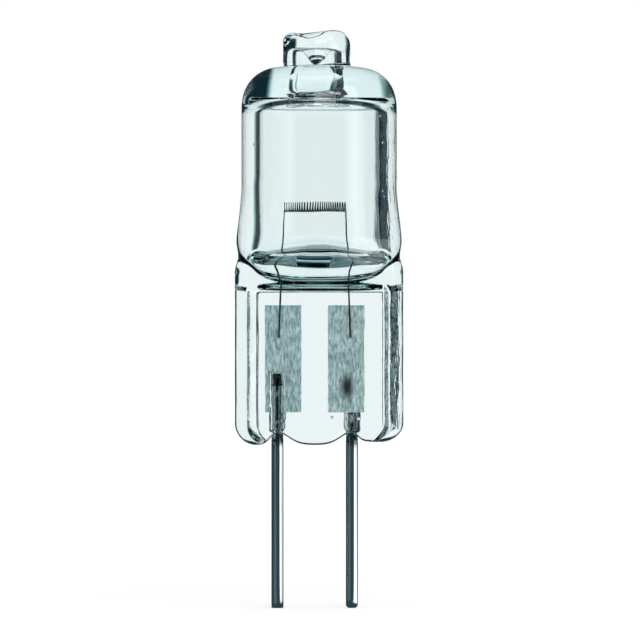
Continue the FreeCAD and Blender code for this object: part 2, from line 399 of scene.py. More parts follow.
# Inside the contact shadow disc the floor is dark in reflections: a painted contact shadow under the bulb
CONTACT_SHADOW_DISC = 4.0
CONTACT_SHADOW_EDGE = 6.0
SHADE_REACH = 25.0
SHADE_END = 60.0
NEAR_FLOOR = 90.0
FAR_FLOOR = 140.0
FLOOR_SPECKS = (40.0, 40.0, 40.0)
FLOOR_DETAIL = 3.0
FLOOR_PAINTS = ((0.88, 0.885, 0.885), (0.9, 0.9, 0.9))
FLOOR_GLOW = 1.05
SHADE_GLOW_COLOUR = (1.0, 0.93, 0.92)
SHADE_GLOW = 1.25
SHADE_GLOW_SHARE = 0.35

# Lamps: place and size, and power in watts
Lamp = namedtuple("Lamp", "name place size power")
LAMPS = [
    Lamp("key", (260.0, -240.0, 220.0), 220.0, 0.28),
    Lamp("fill", (-300.0, -200.0, 160.0), 260.0, 0.14),
    Lamp("front", (60.0, -400.0, 160.0), 240.0, 0.66),
]

# Camera
LOOK_X = 0.2875
LOOK_Z = 6.717
CAMERA_DISTANCE = 320.0
FRAME_WIDTH = 34.39
SENSOR = 36.0
CLIP_START = 1.0
CLIP_END = 10000.0


def mix(low, high, share):
    return low + (high - low) * share


def smooth(start, end, value):
    """0 at start, 1 at end, with an even S between."""
    share = min(max((value - start) / (end - start), 0.0), 1.0)
    return share * share * (3.0 - 2.0 * share)


def ramp(value, soft):
    """Like max(value, 0), with its corner eased over the soft width."""
    if value <= -soft:
        return 0.0
    if value >= soft:
        return value
    return (value + soft) ** 2 / (4.0 * soft)


def soft_min(first, second, soft):
    near = max(soft - abs(first - second), 0.0) / soft
    return min(first, second) - near * near * soft / 4.0


def ripple(relief, x, y, z, shift=0.0):
    """Smooth noise of a relief, the same on every run; the shift picks another pattern of it."""
    seed = relief.seed + shift
    along = z * relief.stretch / relief.grain + 2.0 * seed
    return relief.height * noise.noise(Vector((x / relief.grain + seed, y / relief.grain - seed, along)))


def steps(start, end, count):
    """Even steps from start up to but not at end."""
    return [mix(start, end, number / count) for number in range(count)]


def mirrored(there, back):
    """A whole ring from a quarter of it, taken from +x to +y, and the same quarter taken back."""
    ring = list(there)
    ring += [(-x, y) for x, y in back]
    ring += [(-x, -y) for x, y in there]
    ring += [(x, -y) for x, y in back]
    return ring


def corner_inset(rise, radius):
    """How far a rounded lower corner draws in at a height above its foot."""
    if rise >= radius:
        return 0.0
    return radius - math.sqrt(radius ** 2 - (radius - rise) ** 2)


def slab_ring(half_width, half_depth, corner, quarter):
    """Points round a rounded rectangle, evenly spaced within each quarter; a circle where all three agree."""
    side = half_depth - corner
    front = half_width - corner
    bend = corner * math.pi / 2.0
    total = side + bend + front

    def at(run):
        if run < side:
            return half_width, run
        if run < side + bend:
            turn = (run - side) / corner
            return front + corner * math.cos(turn), side + corner * math.sin(turn)
        return front - (run - side - bend), half_depth

    there = [at(total * number / quarter) for number in range(quarter)]
    back = [at(total * (quarter - number) / quarter) for number in range(quarter)]
    return mirrored(there, back)


class Shell:
    """Points and faces of a mesh, put together from closed rings."""

    def __init__(self):
        self.points = []
        self.faces = []

    def add_rings(self, rings, inward=False, start_point=None, end_point=None):
        """Join rings that all have the same number of points; an end point closes that end with a fan."""
        first = len(self.points)
        count = len(rings[0])
        for ring in rings:
            self.points.extend(ring)
        faces = []
        for row in range(len(rings) - 1):
            low = first + row * count
            high = low + count
            for number in range(count):
                after = (number + 1) % count
                faces.append((low + number, low + after, high + after, high + number))
        if start_point is not None:
            self.points.append(start_point)
            tip = len(self.points) - 1
            for number in range(count):
                faces.append((tip, first + (number + 1) % count, first + number))
        if end_point is not None:
            self.points.append(end_point)
            tip = len(self.points) - 1
            last = first + (len(rings) - 1) * count
            for number in range(count):
                faces.append((tip, last + number, last + (number + 1) % count))
        if inward:
            faces = [tuple(reversed(face)) for face in faces]
        self.faces.extend(faces)

    def make(self, name):
        mesh = bpy.data.meshes.new(name)
        mesh.from_pydata([(x * MM, y * MM, z * MM) for x, y, z in self.points], [], self.faces)
        mesh.validate()
        item = bpy.data.objects.new(name, mesh)
        bpy.context.scene.collection.objects.link(item)
        return item


def finish_mesh(item, merge, sharp):
    """Merge points that meet, and shade the surface smooth except across sharp edges."""
    work = bmesh.new()
    work.from_mesh(item.data)
    bmesh.ops.remove_doubles(work, verts=work.verts, dist=merge * MM)
    work.to_mesh(item.data)
    work.free()
    item.data.shade_smooth()
    item.data.set_sharp_from_angle(angle=math.radians(sharp))


def lobes(x):
    """How far the lower edge draws up beside the pins and at the right, in the object's own x."""
    lift = RIGHT_LOBE_LIFT * smooth(RIGHT_LOBE_START, RIGHT_LOBE_END, x)
    width = SCALLOP_INNER if abs(x) < PIN_X else SCALLOP_OUTER
    for pin in (-PIN_X, PIN_X):
        lift += SCALLOP_RISE * math.exp(-((x - pin) / width) ** 2)
    return lift


def drawn_in(z):
    """How far the tube still stands open at a height: 1 for the whole tube, 0 at the foot of its cup."""
    share = min(max((z - CUP_FOOT) / (CUP_TOP - CUP_FOOT), 0.0), 1.0)
    return math.sin(share * math.pi / 2.0) ** CUP_BEND


def cup_reach(across, deep, half_width, z):
    """How far out the tube's drawn-in end stands in one direction of its section at a height."""
    share = drawn_in(z)
    wide = mix(CUP_HALF_WIDTH, half_width, share)
    thick = mix(CUP_MIN, BODY_RADIUS, share)
    square = mix(CUP_SQUARE, ELLIPSE, share)
    return ((across / wide) ** square + (deep / thick) ** square) ** (-1.0 / square)


def slab_reach(across, deep, half_width, half_depth, corner):
    """How far out a rounded rectangle stands in one direction from its centre."""
    front, side = half_width - corner, half_depth - corner
    if across * side >= deep * half_width:
        return half_width / across
    if deep * front >= across * half_depth:
        return half_depth / deep
    along = across * front + deep * side
    return along + math.sqrt(max(along * along - front * front - side * side + corner * corner, 0.0))


def rail_turns():
    """Directions round one quarter of the pinch's section, closest together along its rail."""
    front, side = PINCH_HALF_WIDTH - RAIL_CORNER, RAIL_HALF - RAIL_CORNER
    points = [(PINCH_HALF_WIDTH, y) for y in steps(0.0, side, SIDE_POINTS)]
    for turn in steps(0.0, RIGHT_ANGLE, CORNER_POINTS):
        points.append((front + RAIL_CORNER * math.cos(turn), side + RAIL_CORNER * math.sin(turn)))
    points += [(x, RAIL_HALF) for x in steps(front, RAIL_INSIDE, RAIL_POINTS)]
    points += [(x, RAIL_HALF) for x in steps(RAIL_INSIDE, 0.0, WEB_POINTS)]
    return [math.atan2(y, x) for x, y in points]


def wall_section(z):
    """The wall's section at a height: the tube, drawn in like a cup between the two rails of the pinch."""
    half_width = mix(PINCH_HALF_WIDTH, BODY_RADIUS, smooth(FLARE_END, FLARE_START, z))
    pressed = 1.0 - smooth(PRESS_END, PRESS_START, z)
    spread = 1.0 - smooth(PRESS_START, FLARE_START, z)
    even = steps(0.0, RIGHT_ANGLE, OUTER_QUARTER)
    turns = [mix(one, other, spread) for one, other in zip(even, rail_turns())]
    quarter = []
    for turn in turns + [RIGHT_ANGLE]:
        across, deep = math.cos(turn), math.sin(turn)
        out = cup_reach(across, deep, half_width, z)
        if pressed > 0.0:
            rail_width = half_width - CUP_SOFT * (1.0 - pressed)
            rail_depth = mix(RAIL_START, RAIL_HALF, pressed)
            rail = slab_reach(across, deep, rail_width, rail_depth, RAIL_CORNER)
            out = -soft_min(-out, -rail, CUP_SOFT)
        quarter.append((out * across, out * deep))
    return half_width, mirrored(quarter[:-1], quarter[:0:-1])


def jaw_limit(x, z):
    """How far out the jaws let the glass stand: a flat web, with slopes up to the rails and the shoulder."""
    rise = ramp(z - WEB_TOP, SOFT_TOP) * JAW_TOP
    print_limit = WEB_HALF + rise + ramp(x - WEB_RIGHT, SOFT_RIGHT) * JAW_RIGHT
    print_limit += ramp(WEB_LEFT - x, SOFT_LEFT) * JAW_LEFT
    from_middle = min(((abs(x) - RAIL_MIDDLE) / (RAIL_MIDDLE - WEB_RIGHT)) ** 2, 1.0)
    return soft_min(print_limit, RAIL_HALF - RAIL_CROWN * from_middle + rise, SOFT_TOP)


def foot_share(z):
    """How much of the pinch's depth is left at a height above its rounded foot."""
    if z >= FOOT_ROUND:
        return 1.0
    return max(1.0 - (1.0 - z / FOOT_ROUND) ** FOOT_SQUARE, 0.0) ** (1.0 / FOOT_SQUARE)


def pressed_ring(z):
    """One ring of the pinch and shoulder, with the print of the jaws and the rounded, lobed foot."""
    half_width, section = wall_section(z)
    foot = foot_share(z)
    inset = corner_inset(z, FOOT_CORNER)
    on_pinch = 1.0 - smooth(MOTTLE_TOP, MOTTLE_END, z)
    lobed = 1.0 - smooth(0.0, LOBE_FADE, z)
    ring = []
    for x, y in section:
        depth = soft_min(abs(y), jaw_limit(x, z), JAW_SOFT)
        mottle = ripple(RAIL_MOTTLE, x, y, z) * smooth(MOTTLE_START, MOTTLE_FULL, abs(x)) * on_pinch
        drawn = ripple(DRAWN_WAVES, x, y, z)
        depth = math.copysign(depth, y) * foot * (1.0 + drawn + mottle)
        x *= 1.0 - inset / half_width
        x += ripple(EDGE_WAVES, x, 0.0, z)
        place = x + AXIS_X
        ring.append((place, depth, z + lobes(place) * lobed))
    return ring


def round_ring(radius, z, shift, lump, quarter):
    """One ring of a turned part, its axis shifted along x and its surface lumpy by that much."""
    ring = []
    for x, y in slab_ring(radius, radius, radius, quarter):
        bump = lump * ripple(LUMPS, x, y, z)
        swell = 1.0 + bump / max(radius, LUMP_CORE)
        ring.append((x * swell + AXIS_X + shift, y * swell, z + bump))
    return ring


def quarter_arc(centre_r, centre_z, radius, start, end, count):
    """Radius and height along an arc, by angle in degrees from outward to up."""
    points = []
    for turn in steps(start, end, count):
        angle = math.radians(turn)
        points.append((centre_r + radius * math.cos(angle), centre_z + radius * math.sin(angle)))
    return points


def dome_profile():
    """Radius and height of the body, the dome and the sealed tip, upward from the shoulder."""
    dome_foot = DOME_TOP - DOME_ROUND
    tip_foot = DOME_TOP + TIP_FILLET
    tip_edge = TIP_TOP - TIP_ROUND
    points = [(BODY_RADIUS, z) for z in steps(FLARE_START, dome_foot, TUBE_STEPS)]
    for turn in steps(0.0, RIGHT_ANGLE, DOME_STEPS):
        out = DOME_ROUND * math.cos(turn) ** (2.0 / DOME_SQUARE)
        up = DOME_ROUND * math.sin(turn) ** (2.0 / DOME_SQUARE)
        points.append((BODY_RADIUS - DOME_ROUND + out, dome_foot + up))
    points += quarter_arc(TIP_RADIUS + TIP_FILLET, tip_foot, TIP_FILLET, 270.0, 180.0, FILLET_STEPS)
    points += [(TIP_RADIUS, z) for z in steps(tip_foot, tip_edge, TUBE_STEPS)]
    points += quarter_arc(TIP_RADIUS - TIP_ROUND, tip_edge, TIP_ROUND, 0.0, 90.0, TIP_STEPS)
    points += [(r, TIP_TOP) for r in steps(TIP_RADIUS - TIP_ROUND, TIP_CENTRE, TIP_STEPS)]
    return points


def outer_rings():
    levels = [FOOT_ROUND * (1.0 - math.cos(turn)) for turn in steps(0.0, RIGHT_ANGLE, FOOT_STEPS)]
    levels += steps(FOOT_ROUND, SHOULDER_LOW, PINCH_STEPS)
    levels += steps(SHOULDER_LOW, SHOULDER_HIGH, SHOULDER_STEPS)
    levels += steps(SHOULDER_HIGH, FLARE_START, NECK_STEPS)
    rings = [pressed_ring(z) for z in levels]
    for radius, z in dome_profile():
        shift = TIP_SHIFT * smooth(DOME_TOP - TIP_BLEND, DOME_TOP + TIP_BLEND, z)
        lump = TIP_LUMP * smooth(TIP_LUMP_START, TIP_LUMP_END, z)
        rings.append(round_ring(radius, z, shift, lump, OUTER_QUARTER))
    return rings


def cavity_ring(z):
    """One ring of the cavity, whose floor is a rounded trough from side to side."""
    fall = min(max((CAVITY_NECK - z) / (CAVITY_NECK - CAVITY_FLOOR), 0.0), 1.0)
    half_width = CAVITY_RADIUS + CAVITY_FLARE * (1.0 - smooth(FLARE_END, FLARE_START, z))
    half_depth = CAVITY_RADIUS * max(1.0 - fall ** 2, 0.0) ** (CAVITY_BEND / 2.0)
    inset = corner_inset(z - CAVITY_FLOOR, CAVITY_CORNER)
    corner = max(half_depth, THINNEST)
    ring = []
    for x, y in slab_ring(half_width, corner, corner, INNER_QUARTER):
        swell = 1.0 + ripple(CAVITY_WAVES, x, y, z)
        x *= 1.0 - inset / half_width
        y *= 1.0 if half_depth > THINNEST else 0.0
        ring.append((x * swell + AXIS_X, y * swell, z))
    return ring


def bore_profile():
    """Radius and height of the upper cavity, its ceiling, the exhaust bore and the drop that seals it."""
    wall_top = CAVITY_TOP - CAVITY_ROUND
    ceiling_edge = CAVITY_RADIUS - CAVITY_ROUND
    mouth = BORE_RADIUS + BORE_FLARE
    bore_foot = CAVITY_TOP + BORE_FLARE
    crown_foot = BORE_TOP - BORE_CROWN
    points = [(CAVITY_RADIUS, z) for z in steps(FLARE_START, wall_top, CAVITY_STEPS)]
    points += quarter_arc(ceiling_edge, wall_top, CAVITY_ROUND, 0.0, 90.0, CEILING_ROUND_STEPS)
    points += [(r, CAVITY_TOP) for r in steps(ceiling_edge, mouth, CEILING_STEPS)]
    points += quarter_arc(mouth, bore_foot, BORE_FLARE, 270.0, 180.0, BORE_ROUND_STEPS)
    points += [(BORE_RADIUS, z) for z in steps(bore_foot, crown_foot, BORE_STEPS)]
    points += quarter_arc(
        BORE_RADIUS - BORE_CROWN, crown_foot, BORE_CROWN, 0.0, BORE_CROWN_TURN, BORE_ROUND_STEPS,
    )
    start_r, start_z = points[-1]
    for share in steps(DROP_START, DROP_END, DROP_STEPS):
        points.append((mix(start_r, 0.0, share), mix(start_z, DROP_TIP, share ** DROP_CURVE)))
    return points


def inner_rings():
    depth = CAVITY_NECK - CAVITY_FLOOR
    levels = [CAVITY_NECK - depth * math.cos(turn) for turn in steps(0.0, RIGHT_ANGLE, TROUGH_STEPS)]
    levels += steps(CAVITY_NECK, FLARE_START, CAVITY_NECK_STEPS)
    rings = [cavity_ring(z) for z in levels]
    for radius, z in bore_profile():
        shift = TIP_SHIFT * smooth(CAVITY_TOP - BORE_BLEND_LOW, CAVITY_TOP + BORE_BLEND_HIGH, z)
        lump = BORE_LUMP * smooth(BORE_LUMP_START, BORE_LUMP_END, z)
        rings.append(round_ring(radius, z, shift, lump, INNER_QUARTER))
    return rings


def add_bubble(shell, x, y, z, radius):
    """A small round hollow in the glass."""
    rings = []
    for turn in BUBBLE_TURNS:
        out, up = radius * math.cos(math.radians(turn)), radius * math.sin(math.radians(turn))
        rings.append([(x + px, y + py, z + up) for px, py in slab_ring(out, out, out, BUBBLE_QUARTER)])
    shell.add_rings(rings, inward=True, start_point=(x, y, z - radius), end_point=(x, y, z + radius))


def turned_ring(side, radius, z, sides, relief):
    """One ring round the axis of the left or right pin, wavy by a relief."""
    ring = []
    for number in range(sides):
        turn = 2.0 * math.pi * number / sides
        across, deep = math.cos(turn), math.sin(turn)
        wavy = radius + ripple(relief, across, deep, z, side)
        ring.append((side * PIN_X + wavy * across, wavy * deep, z))
    return ring


def turned_shell(side, profile, sides, relief):
    """A closed shell round a pin's axis, from its radius and height upward."""
    rings = [turned_ring(side, radius, z, sides, relief) for radius, z in profile]
    low = (side * PIN_X, 0.0, profile[0][1])
    high = (side * PIN_X, 0.0, profile[-1][1])
    shell = Shell()
    shell.add_rings(rings, start_point=low, end_point=high)
    return shell


def capillary(side):
    """The bore that a pin stands in, a little wavy, with a flared mouth."""
    profile = []
    for z in steps(MOUTH_BELOW, CAPILLARY_END - CAPILLARY_CHAMFER, CAPILLARY_STEPS) + [CAPILLARY_END]:
        flare = 1.0 - smooth(MOUTH_START, MOUTH_TOP, z)
        radius = CAPILLARY_RADIUS + (MOUTH_RADIUS - CAPILLARY_RADIUS) * flare
        if z == CAPILLARY_END:
            radius -= CAPILLARY_CHAMFER
        profile.append((radius, z))
    return turned_shell(side, profile, CAPILLARY_SIDES, CAPILLARY_WAVES).make("capillary_cutter")


def bored(item, cutters):
    """Take the cutters out of a piece, for good."""
    for cutter in cutters:
        change = item.modifiers.new("bore", "BOOLEAN")
        change.object = cutter
        change.operation = "DIFFERENCE"
        change.solver = "EXACT"
    view = bpy.context.evaluated_depsgraph_get()
    result = bpy.data.meshes.new_from_object(item.evaluated_get(view))
    item.modifiers.clear()
    old = item.data
    item.data = result
    bpy.data.meshes.remove(old)
    for cutter in cutters:
        mesh = cutter.data
        bpy.data.objects.remove(cutter)
        bpy.data.meshes.remove(mesh)


def make_envelope():
    """The quartz wall with its cavity and bubbles, bored for the two pins."""
    shell = Shell()
    outside = outer_rings()
    shell.add_rings(outside, end_point=(AXIS_X + TIP_SHIFT, 0.0, outside[-1][0][2]))
    shell.add_rings(inner_rings(), inward=True, end_point=(AXIS_X + TIP_SHIFT, 0.0, DROP_TIP))
    for bubble in BUBBLES:
        add_bubble(shell, *bubble)
    item = shell.make("envelope_glass")
    finish_mesh(item, SHELL_MERGE, NEVER_SHARP)
    bored(item, [capillary(-1), capillary(1)])
    finish_mesh(item, BORED_MERGE, GLASS_SHARP)
    return item


def swept(path, sides):
    """Rings round a path of points with a radius at each, turned along it without twisting."""
    rings = []
    across = Vector((1.0, 0.0, 0.0))
    for number, (place, radius) in enumerate(path):
        before = path[max(number - 1, 0)][0]
        after = path[min(number + 1, len(path) - 1)][0]
        along = (after - before).normalized()
        across = (across - along * across.dot(along)).normalized()
        third = along.cross(across)
        ring = []
        for corner in range(sides):
            turn = 2.0 * math.pi * corner / sides
            ring.append(tuple(place + (across * math.cos(turn) + third * math.sin(turn)) * radius))
        rings.append(ring)
    return rings


def coil_end(side):
    """Where the coil meets a leg."""
    aside, below = COIL_RADIUS * math.cos(COIL_DWELL), COIL_RADIUS * math.sin(COIL_DWELL)
    return Vector((side * COIL_HALF, COIL_Y - side * aside, COIL_Z - below))


def left_leg():
    """From the left foil up to the coil, thinning near its top."""
    foot = Vector((-LEG_X, LEG_LEFT_Y, LEG_FOOT))
    path = []
    for share in steps(0.0, 1.0 - LEG_GAP, LEG_STEPS):
        wander = Vector((ripple(LEFT_WANDER, 0.0, 0.0, share), 0.0, 0.0)) * (1.0 - share)
        radius = mix(LEG_RADIUS, WIRE_RADIUS, share ** LEFT_TAPER)
        path.append((foot.lerp(coil_end(-1), share) + wander, radius))
    return path


def coil():
    """The coil's turns, which dwell low and swell there: a dark bar of wire along the underside, put where
    the coil is in shade.
    """
    path = []
    count = int(COIL_TURNS * COIL_STEPS)
    for number in range(count + 1):
        turn = 2.0 * math.pi * COIL_TURNS * number / count
        turn -= COIL_DWELL * math.cos(turn)
        x = mix(-COIL_HALF, COIL_HALF, number / count)
        x += ripple(COIL_DRIFT, x, 0.0, 0.0)
        radius = COIL_RADIUS * (1.0 + ripple(COIL_UNEVEN, x, COIL_UNEVEN_ROW, 0.0))
        thick = WIRE_RADIUS * (1.0 + COIL_SWELL * max(-math.sin(turn), 0.0) ** COIL_SWELL_POWER)
        place = Vector((x, COIL_Y + radius * math.cos(turn), COIL_Z + radius * math.sin(turn)))
        path.append((place, thick))
    return path


def right_leg():
    """From the coil down to the right foil, thickening near its top."""
    foot = Vector((LEG_X, LEG_RIGHT_Y, LEG_FOOT))
    path = []
    for share in steps(LEG_GAP, 1.0, LEG_STEPS) + [1.0]:
        wander = Vector((ripple(RIGHT_WANDER, 0.0, RIGHT_WANDER_ROW, share), 0.0, 0.0)) * share
        radius = mix(WIRE_RADIUS, LEG_RADIUS, share ** RIGHT_TAPER)
        path.append((coil_end(1).lerp(foot, share) + wander, radius))
    return path


def make_filament():
    path = left_leg() + coil() + right_leg()
    shell = Shell()
    shell.add_rings(swept(path, WIRE_SIDES), start_point=tuple(path[0][0]), end_point=tuple(path[-1][0]))
    item = shell.make("filament_coil")
    finish_mesh(item, METAL_MERGE, WIRE_SHARP)
    return item


def foil_bulge(side, x, z):
    """The right foil is pressed over the end of the pin behind it."""
    if side < 0:
        return 0.0
    across = abs(x - PIN_X) / BULGE_HALF
    if across >= 1.0:
        return 0.0
    over_pin = 1.0 - smooth(PIN_END - BULGE_BELOW, PIN_END + BULGE_ABOVE, z)
    return BULGE_DEPTH * (1.0 - across * across) ** 2 * over_pin


def foil_ring(side, z):
    """One ring of a foil: its front from edge to edge, then its back."""
    front, back = [], []
    for number in range(FOIL_COLUMNS + 1):
        across = mix(-1.0, 1.0, number / FOIL_COLUMNS)
        ragged = ripple(FOIL_RAGGED, side, across, z) * abs(across)
        x = side * FOIL_X + across * (FOIL_HALF + ragged)
        crinkle = ripple(FOIL_CRINKLE, x, side, z) + ripple(FOIL_WAVES, x, side, z)
        y = -side * FOIL_Y + crinkle - foil_bulge(side, x, z)
        half = FOIL_THICK / 2.0 * math.sqrt(max(1.0 - across ** FOIL_FEATHER, 0.0)) + FOIL_EDGE
        front.append((x, y - half, z))
        back.append((x, y + half, z))
    return front + list(reversed(back))


def make_foil(name, side):
    """A crinkled foil strip with feather edges, made as a flat tube of rings up its length."""
    rings = [foil_ring(side, z) for z in steps(FOIL_BOTTOM, FOIL_TOP, FOIL_ROWS) + [FOIL_TOP]]
    shell = Shell()
    shell.add_rings(rings)
    count = len(rings[0])
    last = (len(rings) - 1) * count
    shell.faces.append(tuple(reversed(range(count))))
    shell.faces.append(tuple(last + number for number in range(count)))
    item = shell.make(name)
    finish_mesh(item, METAL_MERGE, FOIL_SHARP)
    return item


def make_pin(name, side):
    """A drawn pin with a weld collar: the left tip is cut flat, the right one rounded off."""
    blunt = LEFT_BLUNT if side < 0 else RIGHT_BLUNT
    profile = []
    for turn in steps(0.0, RIGHT_ANGLE, PIN_TIP_STEPS):
        out, up = blunt * math.sin(turn), blunt * (1.0 - math.cos(turn))
        profile.append((PIN_RADIUS - blunt + out, PIN_TIP + up))
    profile += [(PIN_RADIUS, z) for z in steps(PIN_TIP + blunt, 0.0, PIN_STEPS)]
    for z in steps(0.0, WELD_START, PIN_BURIED_STEPS):
        profile.append((mix(PIN_RADIUS, PIN_BURIED, smooth(0.0, PIN_WAIST_LENGTH, z)), z))
    lip = WELD_RADIUS + WELD_LIP
    lip_top = WELD_START + WELD_LIP_HEIGHT
    profile += [(PIN_BURIED, WELD_START), (lip, WELD_START + WELD_CHAMFER)]
    profile += [(lip, lip_top), (WELD_RADIUS, lip_top + WELD_CHAMFER)]
    profile += [(WELD_RADIUS, PIN_END - WELD_CHAMFER), (WELD_RADIUS - WELD_CHAMFER, PIN_END)]
    item = turned_shell(side, profile, PIN_SIDES, PIN_WOBBLE).make(name)
    finish_mesh(item, METAL_MERGE, PIN_SHARP)
    return item


class Nodes:
    """A short way to write a node tree."""

    def __init__(self, owner):
        owner.use_nodes = True
        self.tree = owner.node_tree
        self.tree.nodes.clear()

    def add(self, kind, links=None, **settings):
        node = self.tree.nodes.new(kind)
        for name, value in settings.items():
            setattr(node, name, value)
        for socket, source in (links or {}).items():
            target = node.inputs[socket]
            if isinstance(source, bpy.types.NodeSocket):
                self.tree.links.new(source, target)
            else:
                target.default_value = source
        return node

    def ramp(self, source, stops):
        """A colour ramp through (position, colour) stops."""
        node = self.add("ShaderNodeValToRGB", {"Fac": source})
        line = node.color_ramp
        while len(line.elements) < len(stops):
            line.elements.new(0.5)
        for element, (position, colour) in zip(line.elements, stops):
            element.position = position
            element.color = (*colour, 1.0)
        return node.outputs["Color"]

    def noise(self, place, detail, roughness=0.5):
        settings = {"Vector": place, "Scale": 1.0, "Detail": detail, "Roughness": roughness}
        return self.add("ShaderNodeTexNoise", settings).outputs["Fac"]

    def place(self):
        return self.add("ShaderNodeTexCoord").outputs["Object"]

    def stretched(self, size):
        """Object coordinates in metres, scaled along each axis."""
        return self.add("ShaderNodeMapping", {"Vector": self.place(), "Scale": size}).outputs["Vector"]

    def between(self, value, low, high, top=1.0):
        """0 where the value is at low, and the top where it is at high."""
        settings = {"Value": value, "From Min": low, "From Max": high, "To Max": top}
        return self.add("ShaderNodeMapRange", settings).outputs[0]

    def calculate(self, operation, *values):
        return self.add("ShaderNodeMath", dict(enumerate(values)), operation=operation).outputs[0]

    def blend(self, share, first, second):
        """A mix of two shaders: the first where the share is 0, the second where it is 1."""
        return self.add("ShaderNodeMixShader", {0: share, 1: first, 2: second}).outputs[0]

    def by_ray(self, rest, glossy, bent, camera):
        """A shader each for mirrored rays, rays that glass bends, the camera's rays and all the rest."""
        path = self.add("ShaderNodeLightPath").outputs
        shader = self.blend(path["Is Glossy Ray"], rest, glossy)
        shader = self.blend(path["Is Transmission Ray"], shader, bent)
        return self.blend(path["Is Camera Ray"], shader, camera)


def edge_share(nodes):
    """How mottled the glass is: only inside the tube and on the pinch, and most along the right edge."""
    parts = nodes.add("ShaderNodeSeparateXYZ", {0: nodes.place()}).outputs
    left_edge, right_edge = AXIS_X - PINCH_HALF_WIDTH, AXIS_X + PINCH_HALF_WIDTH
    across = nodes.between(parts["X"], left_edge * MM, right_edge * MM)
    share = nodes.ramp(across, [
        (MOTTLE_LEFT_FULL, MOTTLE_LEFT), (MOTTLE_LEFT_NONE, BLACK),
        (MOTTLE_RIGHT_NONE, BLACK), (MOTTLE_RIGHT_FULL, WHITE),
    ])
    spoke = nodes.add("ShaderNodeCombineXYZ", {"X": parts["X"], "Y": parts["Y"]}).outputs[0]
    centre = (AXIS_X * MM, 0.0, 0.0)
    out = nodes.add("ShaderNodeVectorMath", {0: spoke, 1: centre}, operation="DISTANCE").outputs["Value"]
    outer = mix(BODY_RADIUS, CAVITY_RADIUS, WALL_MOTTLE_NONE)
    inner = mix(BODY_RADIUS, CAVITY_RADIUS, WALL_MOTTLE_FULL)
    inside = nodes.between(out, outer * MM, inner * MM, MOTTLE_IN_TUBE)
    pressed = nodes.between(parts["Z"], PRESS_END * MM, WEB_TOP * MM, MOTTLE_ON_PINCH)
    return nodes.calculate("MULTIPLY", share, nodes.calculate("MAXIMUM", inside, pressed))


def quartz_material():
    """Clear fused quartz with faint draw lines and a mottle; lamps shine through it."""
    owner = bpy.data.materials.new("fused_quartz")
    nodes = Nodes(owner)
    lines = nodes.noise(nodes.stretched(DRAW_LINES), QUARTZ_DETAIL)
    deep, pale = QUARTZ_TINTS
    tint = nodes.ramp(lines, [(LOW_NOISE, deep), (HIGH_NOISE, pale)])
    drawn = nodes.add("ShaderNodeBump", {
        "Height": lines, "Strength": DRAW_STRENGTH, "Distance": DRAW_HEIGHT * MM,
    })
    grain = nodes.noise(nodes.stretched(MOTTLE_GRAIN), QUARTZ_DETAIL)
    bump = nodes.add("ShaderNodeBump", {
        "Height": nodes.calculate("MULTIPLY", grain, edge_share(nodes)),
        "Strength": MOTTLE_STRENGTH,
        "Distance": MOTTLE_HEIGHT * MM,
        "Normal": drawn.outputs["Normal"],
    })
    glass = nodes.add("ShaderNodeBsdfPrincipled", {
        "Base Color": tint,
        "Transmission Weight": 1.0,
        "IOR": QUARTZ_IOR,
        "Roughness": 0.0,
        "Normal": bump.outputs["Normal"],
    })
    clear = nodes.add("ShaderNodeBsdfTransparent", {"Color": (*QUARTZ_SHADOW, 1.0)})
    path = nodes.add("ShaderNodeLightPath")
    surface = nodes.blend(path.outputs["Is Shadow Ray"], glass.outputs[0], clear.outputs[0])
    body = nodes.add("ShaderNodeVolumeAbsorption", {
        "Color": (*QUARTZ_DEPTH_COLOUR, 1.0), "Density": QUARTZ_DEPTH_DENSITY,
    })
    nodes.add("ShaderNodeOutputMaterial", {"Surface": surface, "Volume": body.outputs[0]})
    return owner


def darkened(nodes, colour, dark_patch):
    """A colour darkened near a place down to a share of itself: painted shade on the right foil and at the
    pins' top ends, and a darker length of the pins inside the glass.
    """
    size = tuple(1.0 / (length * MM) for length in dark_patch.reach)
    shift = tuple(-along / length for along, length in zip(dark_patch.place, dark_patch.reach))
    apart = nodes.add("ShaderNodeMapping", {"Vector": nodes.place(), "Scale": size, "Location": shift})
    away = nodes.add("ShaderNodeVectorMath", {0: apart.outputs["Vector"]}, operation="LENGTH")
    clean = nodes.add("ShaderNodeMapRange", {
        "Value": away.outputs["Value"], "From Min": 1.0 - dark_patch.soft, "From Max": 1.0, "To Min": dark_patch.left,
    }, interpolation_type="SMOOTHSTEP")
    both = nodes.add("ShaderNodeVectorMath", {0: colour, 1: clean.outputs[0]}, operation="MULTIPLY")
    return both.outputs["Vector"]


def metal_material(name, metal):
    """A metal whose grain drives its colour, roughness and relief."""
    owner = bpy.data.materials.new(name)
    nodes = Nodes(owner)
    grain = nodes.noise(nodes.stretched(metal.stretch), metal.detail, GRAIN_ROUGHNESS)
    colour = nodes.ramp(grain, [(DARK_GRAIN, metal.dark), (LIGHT_GRAIN, metal.light)])
    for dark_patch in metal.stains:
        colour = darkened(nodes, colour, dark_patch)
    shine = nodes.ramp(grain, [(LOW_NOISE, (metal.dull,) * 3), (HIGH_NOISE, (metal.shiny,) * 3)])
    bump = nodes.add("ShaderNodeBump", {
        "Height": grain, "Strength": metal.relief, "Distance": GRAIN_HEIGHT * MM,
    })
    shader = nodes.add("ShaderNodeBsdfPrincipled", {
        "Base Color": colour,
        "Metallic": metal.metallic,
        "Roughness": shine,
        "Normal": bump.outputs["Normal"],
    })
    nodes.add("ShaderNodeOutputMaterial", {"Surface": shader.outputs[0]})
    return owner


def angle_share(degrees):
    """Place on a ramp of a direction's angle from +Y toward +X."""
    return (degrees + 180.0) / 360.0


